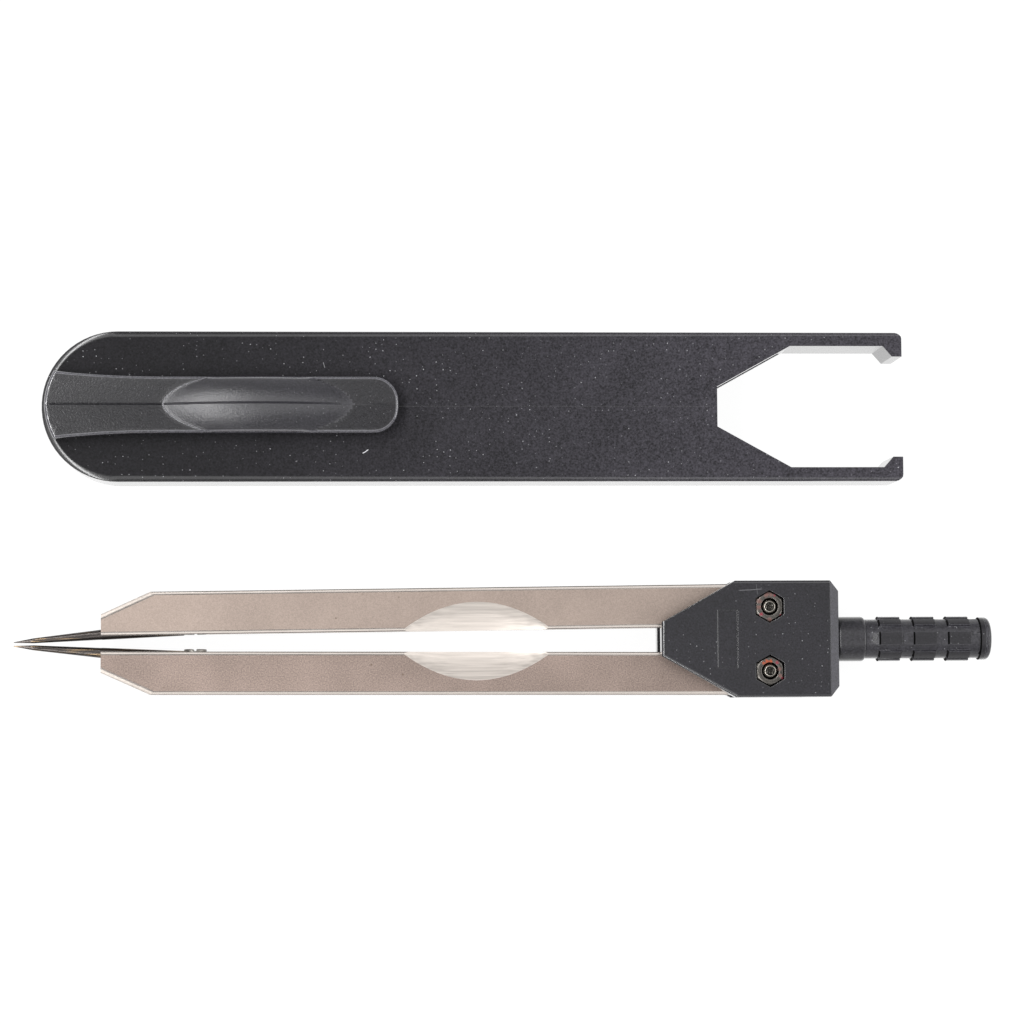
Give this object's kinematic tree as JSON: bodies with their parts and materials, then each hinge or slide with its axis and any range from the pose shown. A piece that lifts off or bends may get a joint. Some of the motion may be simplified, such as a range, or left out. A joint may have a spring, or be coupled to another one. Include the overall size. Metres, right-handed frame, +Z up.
{
  "type": "dividers",
  "caption": "Dividers with flat metal legs geared together in a moulded pivot head, clamped needle points and a ribbed handle, lying beside their push-fit sheath with pocket clip.",
  "frame": {"origin": "midway between the two pivot axes, on the rear face of the head, which lies on the table", "axes": "+X along the handle, +Y towards the sheath lying beside the dividers, +Z up from the table through the pivots"},
  "size_m": [0.1478, 0.0553, 0.014],
  "materials": {
    "head_plastic": "moulded black plastic, fine satin grain",
    "collar_plastic": "smooth moulded black plastic",
    "grip_plastic": "spark-textured moulded black plastic",
    "sheath_plastic": "moulded black plastic, fine matt grain",
    "satin_nickel": "sand-blasted satin nickel, brushed finger hollows",
    "needle_steel": "ground hardened steel",
    "screw_steel": "turned steel",
    "bolt_steel": "turned zinc-plated steel",
    "nut_steel": "zinc-plated steel with traces of thread sealant",
    "stem_steel": "drawn steel",
    "washer_fibre": "pressed fibre"
  },
  "bodies": {
    "leg_upper": {"upper_leg": "satin_nickel", "upper_needle": "needle_steel", "upper_needle_screw": "screw_steel"},
    "head": {"front_shell": "head_plastic", "rear_shell": "head_plastic", "handle_stem": "stem_steel", "handle_collar": "collar_plastic", "handle_grip": "grip_plastic", "upper_pivot_bolt": "bolt_steel", "lower_pivot_bolt": "bolt_steel", "upper_pivot_nut": "nut_steel", "lower_pivot_nut": "nut_steel", "upper_front_washer": "washer_fibre", "upper_rear_washer": "washer_fibre", "lower_front_washer": "washer_fibre", "lower_rear_washer": "washer_fibre"},
    "leg_lower": {"lower_leg": "satin_nickel", "lower_needle": "needle_steel", "lower_needle_screw": "screw_steel"},
    "sheath": {"sheath_body": "sheath_plastic", "pocket_clip": "sheath_plastic"}
  },
  "joints": [
    {"name": "upper_pivot", "type": "hinge", "parent": "leg_upper", "child": "head", "pos_m": [0, 0.00485, 0.0044], "axis": [0, 0, 1], "range_deg": [0, 35]},
    {"name": "lower_pivot", "type": "hinge", "parent": "head", "child": "leg_lower", "pos_m": [0, -0.00485, 0.0044], "axis": [0, 0, 1], "range_deg": [0, 35]},
    {"name": "sheath_slide", "type": "slide", "parent": "leg_upper", "child": "sheath", "axis": [-1, 0, 0], "range_m": [0, 0.12]}
  ],
  "couplings": [
    {"joint": "lower_pivot", "follows": "upper_pivot", "ratio": 1}
  ]
}
